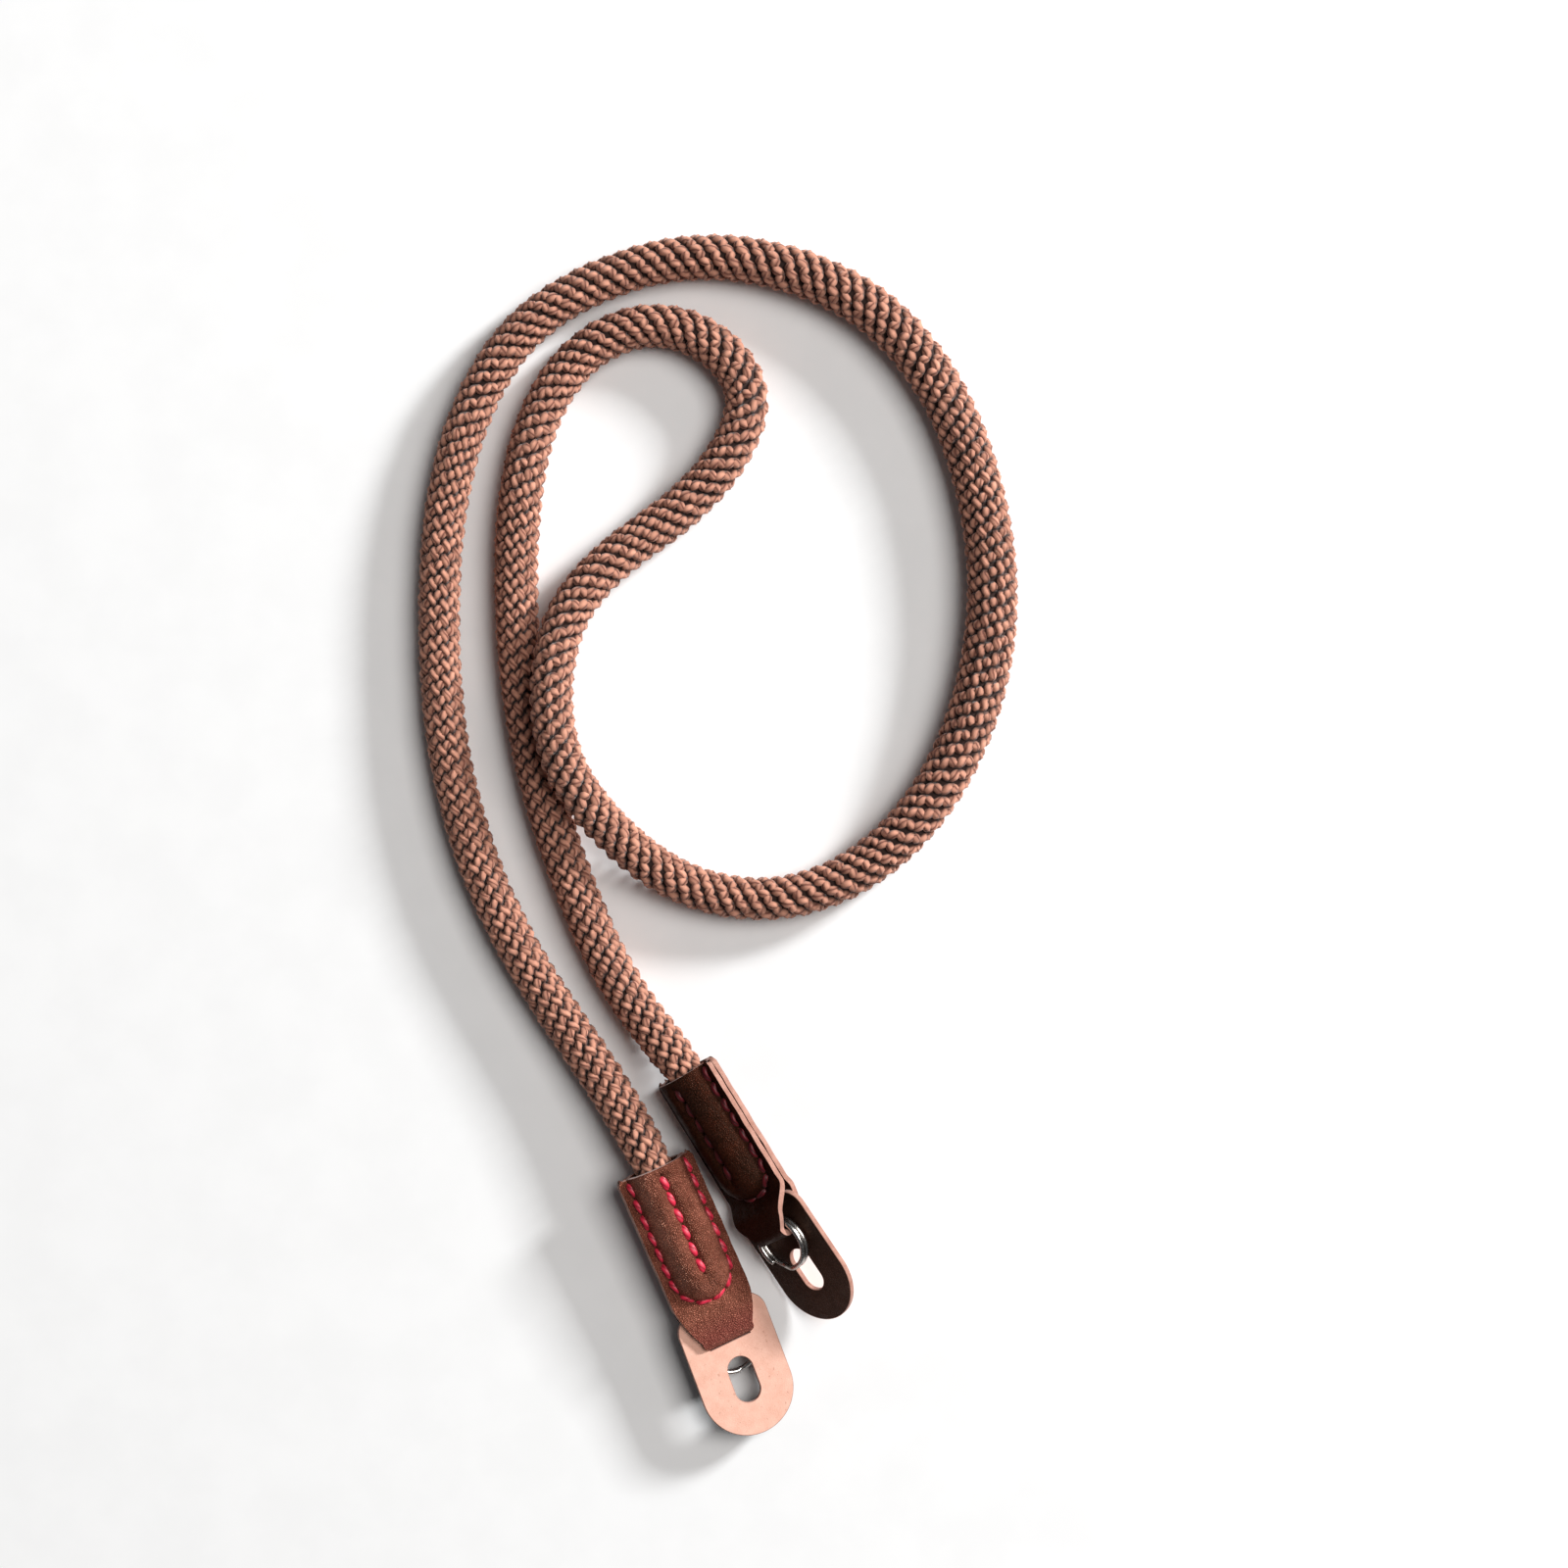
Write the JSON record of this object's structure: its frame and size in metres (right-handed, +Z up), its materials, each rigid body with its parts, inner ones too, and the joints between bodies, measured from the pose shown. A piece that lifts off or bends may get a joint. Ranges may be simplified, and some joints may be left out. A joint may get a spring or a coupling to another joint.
{
  "type": "camera neck strap",
  "caption": "Round knitted rope neck strap for a camera, with stitched leather ends, leather lug guards and split rings",
  "frame": {"origin": "The middle of the coiled strap's footprint, on the surface that it lies on.", "axes": "+Z up from the surface; +Y from the leather ends towards the far bend of the rope; +X to the right as seen from above with +Y away from the viewer. Metres."},
  "size_m": [0.1381, 0.2757, 0.0202],
  "materials": {
    "rope_cotton": "matte knitted cotton",
    "cover_leather": "satin pebbled leather",
    "guard_leather": "matte flesh side",
    "ring_steel": "dark polished nickel"
  },
  "bodies": {
    "root": {"neck_rope": "rope_cotton", "left_end_cover": "cover_leather", "left_lug_guard": "guard_leather", "left_split_ring": "ring_steel", "right_end_cover": "cover_leather", "right_lug_guard": "guard_leather", "right_split_ring": "ring_steel"}
  },
  "joints": []
}
